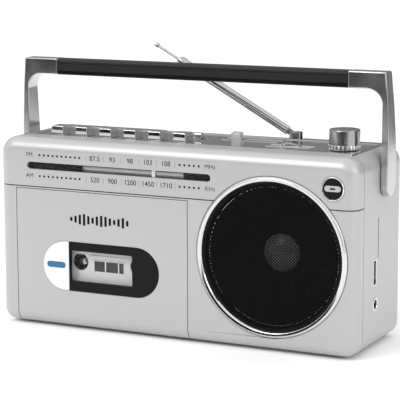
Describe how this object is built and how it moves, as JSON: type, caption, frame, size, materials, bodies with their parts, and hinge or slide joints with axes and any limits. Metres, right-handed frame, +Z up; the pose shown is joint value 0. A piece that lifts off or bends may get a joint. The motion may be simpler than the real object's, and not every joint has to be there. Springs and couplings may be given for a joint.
{
  "type": "cassette player",
  "caption": "Portable radio cassette player with a swinging carry handle, piano keys, a telescopic antenna and a cassette door below a tuning dial.",
  "frame": {"origin": "on the plane the feet rest on, under the middle of the whole player", "axes": "+X along the front from left to right as seen from the front, +Y from the front to the back, +Z up"},
  "size_m": [0.2606, 0.0804, 0.1824],
  "materials": {
    "silver_plastic": "satin silver paint",
    "panel_silver": "glossy dark silver",
    "chrome": "bright plated",
    "steel": "plain zinc-plated",
    "black_gloss": "gloss black",
    "black_matte": "matt black",
    "white_plastic": "gloss white",
    "clear_plastic": "clear",
    "grip_rubber": "soft matt",
    "foot_rubber": "soft matt",
    "tape_brown": "satin brown",
    "cassette_plastic": "moulded",
    "grey_plastic": "moulded",
    "paper_cone": "pressed paper",
    "brass": "turned",
    "board_green": "solder mask"
  },
  "bodies": {
    "case": {"front_panel": "silver_plastic", "dial_panel": "silver_plastic", "rear_cabinet": "silver_plastic", "top_panel": "panel_silver", "rubber_feet": "foot_rubber", "case_screws": "steel", "deck_plate": "steel", "motor": "steel", "drive_belt": "foot_rubber", "key_shaft": "steel", "volume_control": "steel", "tuning_capacitor": "white_plastic", "dial_lens": "clear_plastic", "dial_board": "grey_plastic", "mic_badge": "chrome", "speaker_ring": "chrome", "speaker_grille": "black_matte", "speaker_basket": "steel", "speaker_surround": "foot_rubber", "battery_contacts": "steel", "main_board": "board_green", "transformer": "steel", "mains_inlet": "black_matte", "media_module": "steel", "jack_socket": "black_matte"},
    "door": {"cassette_door": "silver_plastic", "window_bezel": "black_gloss", "window_badge": "white_plastic", "window_lens": "clear_plastic", "cassette_holder": "black_matte", "cassette_shell": "cassette_plastic"},
    "supply_reel": {"supply_reel": "tape_brown"},
    "takeup_reel": {"takeup_reel": "tape_brown"},
    "supply_spindle": {"supply_spindle": "white_plastic"},
    "takeup_spindle": {"takeup_spindle": "white_plastic"},
    "flywheel": {"flywheel": "brass"},
    "motor_pulley": {"motor_pulley": "brass"},
    "heads": {"head_plate": "steel", "tape_heads": "chrome"},
    "pinch_roller": {"pinch_roller": "foot_rubber"},
    "record_key": {"record_key": "chrome"},
    "play_key": {"play_key": "chrome"},
    "rewind_key": {"rewind_key": "chrome"},
    "forward_key": {"forward_key": "chrome"},
    "stop_eject_key": {"stop_eject_key": "chrome"},
    "pause_key": {"pause_key": "chrome"},
    "volume_knob": {"volume_knob": "chrome"},
    "tuning_wheel": {"tuning_wheel": "chrome"},
    "dial_pointer": {"dial_pointer": "white_plastic"},
    "band_knob": {"band_knob": "clear_plastic"},
    "mode_knob": {"mode_knob": "chrome"},
    "speaker_cone": {"speaker_cone": "paper_cone"},
    "antenna_swivel": {"antenna_swivel": "chrome"},
    "antenna_outer": {"antenna_outer": "chrome"},
    "antenna_middle": {"antenna_middle": "chrome"},
    "antenna_tip": {"antenna_tip": "chrome"},
    "handle": {"handle_arm_left": "chrome", "handle_arm_right": "chrome", "handle_grip": "grip_rubber"},
    "battery_door": {"battery_door": "silver_plastic"}
  },
  "joints": [
    {"name": "door_hinge", "type": "hinge", "parent": "case", "child": "door", "pos_m": [0, -0.0308, 0.0095], "axis": [1, 0, 0], "range_deg": [0, 32]},
    {"name": "capstan_turn", "type": "hinge", "parent": "case", "child": "flywheel", "pos_m": [-0.0214, -0.0098, 0.0717], "axis": [0, 1, 0], "continuous": true},
    {"name": "supply_reel_turn", "type": "hinge", "parent": "door", "child": "supply_reel", "pos_m": [-0.06765, -0.0288, 0.0444], "axis": [0, 1, 0], "continuous": true},
    {"name": "supply_spindle_turn", "type": "hinge", "parent": "case", "child": "supply_spindle", "pos_m": [-0.06765, -0.0168, 0.0444], "axis": [0, 1, 0], "continuous": true},
    {"name": "takeup_reel_turn", "type": "hinge", "parent": "door", "child": "takeup_reel", "pos_m": [-0.02515, -0.0288, 0.0444], "axis": [0, 1, 0], "continuous": true},
    {"name": "takeup_spindle_turn", "type": "hinge", "parent": "case", "child": "takeup_spindle", "pos_m": [-0.02515, -0.0168, 0.0444], "axis": [0, 1, 0], "continuous": true},
    {"name": "motor_turn", "type": "hinge", "parent": "case", "child": "motor_pulley", "pos_m": [-0.085, -0.0098, 0.0717], "axis": [0, 1, 0], "continuous": true},
    {"name": "pinch_turn", "type": "hinge", "parent": "heads", "child": "pinch_roller", "pos_m": [-0.0214, -0.0288, 0.08465], "axis": [0, 1, 0], "continuous": true},
    {"name": "head_slide", "type": "slide", "parent": "case", "child": "heads", "axis": [0, 0, -1], "range_m": [0, 0.0057]},
    {"name": "record_key_press", "type": "hinge", "parent": "case", "child": "record_key", "pos_m": [-0.0955, 0.0112, 0.1167], "axis": [1, 0, 0], "range_deg": [0, 8], "stiffness_Nm_per_rad": 0.4, "springref_deg": -5.73},
    {"name": "play_key_press", "type": "hinge", "parent": "case", "child": "play_key", "pos_m": [-0.07755, 0.0112, 0.1167], "axis": [1, 0, 0], "range_deg": [0, 8], "stiffness_Nm_per_rad": 0.4, "springref_deg": -5.73},
    {"name": "rewind_key_press", "type": "hinge", "parent": "case", "child": "rewind_key", "pos_m": [-0.0596, 0.0112, 0.1167], "axis": [1, 0, 0], "range_deg": [0, 8], "stiffness_Nm_per_rad": 0.4, "springref_deg": -5.73},
    {"name": "forward_key_press", "type": "hinge", "parent": "case", "child": "forward_key", "pos_m": [-0.04165, 0.0112, 0.1167], "axis": [1, 0, 0], "range_deg": [0, 8], "stiffness_Nm_per_rad": 0.4, "springref_deg": -5.73},
    {"name": "stop_eject_key_press", "type": "hinge", "parent": "case", "child": "stop_eject_key", "pos_m": [-0.0237, 0.0112, 0.1167], "axis": [1, 0, 0], "range_deg": [0, 8], "stiffness_Nm_per_rad": 0.4, "springref_deg": -5.73},
    {"name": "pause_key_press", "type": "hinge", "parent": "case", "child": "pause_key", "pos_m": [-0.00575, 0.0112, 0.1167], "axis": [1, 0, 0], "range_deg": [0, 8], "stiffness_Nm_per_rad": 0.4, "springref_deg": -5.73},
    {"name": "volume_turn", "type": "hinge", "parent": "case", "child": "volume_knob", "pos_m": [0.1014, 0.0012, 0.1265], "axis": [0, 0, -1], "range_deg": [-140, 140]},
    {"name": "tuning_turn", "type": "hinge", "parent": "case", "child": "tuning_wheel", "pos_m": [0.0658, -0.0003, 0.1117], "axis": [0, 1, 0], "range_deg": [-125, 55]},
    {"name": "pointer_slide", "type": "slide", "parent": "case", "child": "dial_pointer", "axis": [1, 0, 0], "range_m": [-0.049, 0.022]},
    {"name": "band_slide", "type": "slide", "parent": "case", "child": "band_knob", "axis": [1, 0, 0], "range_m": [-0.006, 0.027]},
    {"name": "mode_slide", "type": "slide", "parent": "case", "child": "mode_knob", "axis": [1, 0, 0], "range_m": [-0.006, 0.004]},
    {"name": "cone_travel", "type": "slide", "parent": "case", "child": "speaker_cone", "axis": [0, 1, 0], "range_m": [-0.001, 0.001], "stiffness_N_per_m": 1500, "deforming": ["speaker_surround"]},
    {"name": "antenna_turn", "type": "hinge", "parent": "case", "child": "antenna_swivel", "pos_m": [0.055, 0.0337, 0.1175], "axis": [0, 0, -1], "range_deg": [0, 180]},
    {"name": "antenna_tilt", "type": "hinge", "parent": "antenna_swivel", "child": "antenna_outer", "pos_m": [0.055, 0.0337, 0.1255], "axis": [0, 1, 0], "range_deg": [-28.3, 61.2]},
    {"name": "antenna_draw_middle", "type": "slide", "parent": "antenna_outer", "child": "antenna_middle", "axis": [-0.8763, 0, 0.4818], "range_m": [0, 0.078]},
    {"name": "antenna_draw_tip", "type": "slide", "parent": "antenna_middle", "child": "antenna_tip", "axis": [-0.8763, 0, 0.4818], "range_m": [-0.0165, 0.045]},
    {"name": "handle_hinge", "type": "hinge", "parent": "case", "child": "handle", "pos_m": [0, 0.008, 0.1025], "axis": [1, 0, 0], "range_deg": [-14, 90]},
    {"name": "battery_door_hinge", "type": "hinge", "parent": "case", "child": "battery_door", "pos_m": [0, 0.0389, 0.01], "axis": [-1, 0, 0], "range_deg": [0, 75]}
  ],
  "couplings": [
    {"joint": "supply_reel_turn", "follows": "capstan_turn", "ratio": 0.08},
    {"joint": "supply_spindle_turn", "follows": "capstan_turn", "ratio": 0.08},
    {"joint": "takeup_reel_turn", "follows": "capstan_turn", "ratio": 0.12},
    {"joint": "takeup_spindle_turn", "follows": "capstan_turn", "ratio": 0.12},
    {"joint": "motor_turn", "follows": "capstan_turn", "ratio": 5},
    {"joint": "pinch_turn", "follows": "capstan_turn", "ratio": -0.2},
    {"joint": "head_slide", "follows": "play_key_press", "m_per_rad": 0.040107},
    {"joint": "pointer_slide", "follows": "tuning_turn", "m_per_rad": 0.0223}
  ]
}
